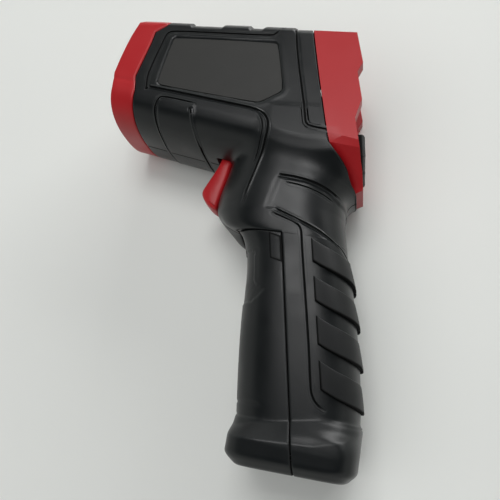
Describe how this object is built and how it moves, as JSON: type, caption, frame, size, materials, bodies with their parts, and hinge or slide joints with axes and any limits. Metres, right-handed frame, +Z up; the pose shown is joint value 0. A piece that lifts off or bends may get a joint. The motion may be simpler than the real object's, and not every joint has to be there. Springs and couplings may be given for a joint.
{
  "type": "infrared thermometer",
  "caption": "Pistol-shaped infrared thermometer with a lens tube in a square nose, a trigger, a display face with push buttons and a grip with a hinged battery door.",
  "frame": {"origin": "under the middle of the bounding box, on the surface that the instrument lies on", "axes": "+X from the nose to the display, +Y from the foot of the grip to the top rail, +Z up to the left side of the instrument; it lies on its right side"},
  "size_m": [0.1114, 0.1536, 0.043],
  "materials": {
    "shell": "satin charcoal plastic",
    "red_shell": "semi-gloss red plastic",
    "black_plastic": "matt black plastic",
    "label": "dark grey film",
    "pad": "soft black rubber",
    "lens": "milky infrared lens",
    "window": "tinted clear window",
    "red_glass": "red filter glass",
    "lcd": "grey-green display glass",
    "board": "green circuit board",
    "steel": "plain steel",
    "sensor_can": "nickelled can",
    "laser_body": "turned brass",
    "plated": "nickel-plated spring steel",
    "cell_wrap": "plain cell wrapper"
  },
  "bodies": {
    "housing": {"left_housing": "shell", "right_housing": "shell", "nose_bezel": "red_shell", "front_plate": "black_plastic", "lens_tube": "black_plastic", "infrared_lens": "lens", "thermopile_sensor": "sensor_can", "sensor_board": "board", "laser_module": "laser_body", "laser_window": "red_glass", "rear_bezel": "red_shell", "display_window": "window", "lcd_module": "lcd", "main_board": "board", "buzzer": "black_plastic", "key_switches": "steel", "board_screws": "steel", "left_label_plate": "label", "right_label_plate": "label", "trigger_pin": "steel", "trigger_spring": "steel", "trigger_switch": "black_plastic", "door_hinge_pin": "steel", "battery_tray": "black_plastic", "upper_polarity_cell": "cell_wrap", "lower_polarity_cell": "cell_wrap", "contact_springs": "plated", "contact_plates": "plated", "left_grip_pads": "pad", "right_grip_pads": "pad", "housing_screws": "steel"},
    "trigger": {"trigger": "red_shell"},
    "left_button": {"left_button": "black_plastic"},
    "right_button": {"right_button": "black_plastic"},
    "battery_door": {"battery_door": "shell"},
    "left_latch": {"left_door_latch": "shell"},
    "right_latch": {"right_door_latch": "shell"}
  },
  "joints": [
    {"name": "trigger_pull", "type": "hinge", "parent": "housing", "child": "trigger", "pos_m": [-0.0075, 0.03232, 0.0215], "axis": [0, 0, 1], "range_deg": [0, 11], "stiffness_Nm_per_rad": 0.2, "springref_deg": -5.73},
    {"name": "left_key_press", "type": "slide", "parent": "housing", "child": "left_button", "axis": [-0.9836, -0.1805, 0], "range_m": [0, 0.0006], "stiffness_N_per_m": 400},
    {"name": "right_key_press", "type": "slide", "parent": "housing", "child": "right_button", "axis": [-0.9836, -0.1805, 0], "range_m": [0, 0.0006], "stiffness_N_per_m": 400},
    {"name": "door_swing", "type": "hinge", "parent": "housing", "child": "battery_door", "pos_m": [0.03355, -0.073, 0.0215], "axis": [0, 0, 1], "range_deg": [0, 60]},
    {"name": "left_latch_push", "type": "slide", "parent": "battery_door", "child": "left_latch", "axis": [0, 0, -1], "range_m": [0, 0.0012], "stiffness_N_per_m": 400},
    {"name": "right_latch_push", "type": "slide", "parent": "battery_door", "child": "right_latch", "axis": [0, 0, 1], "range_m": [0, 0.0012], "stiffness_N_per_m": 400}
  ]
}
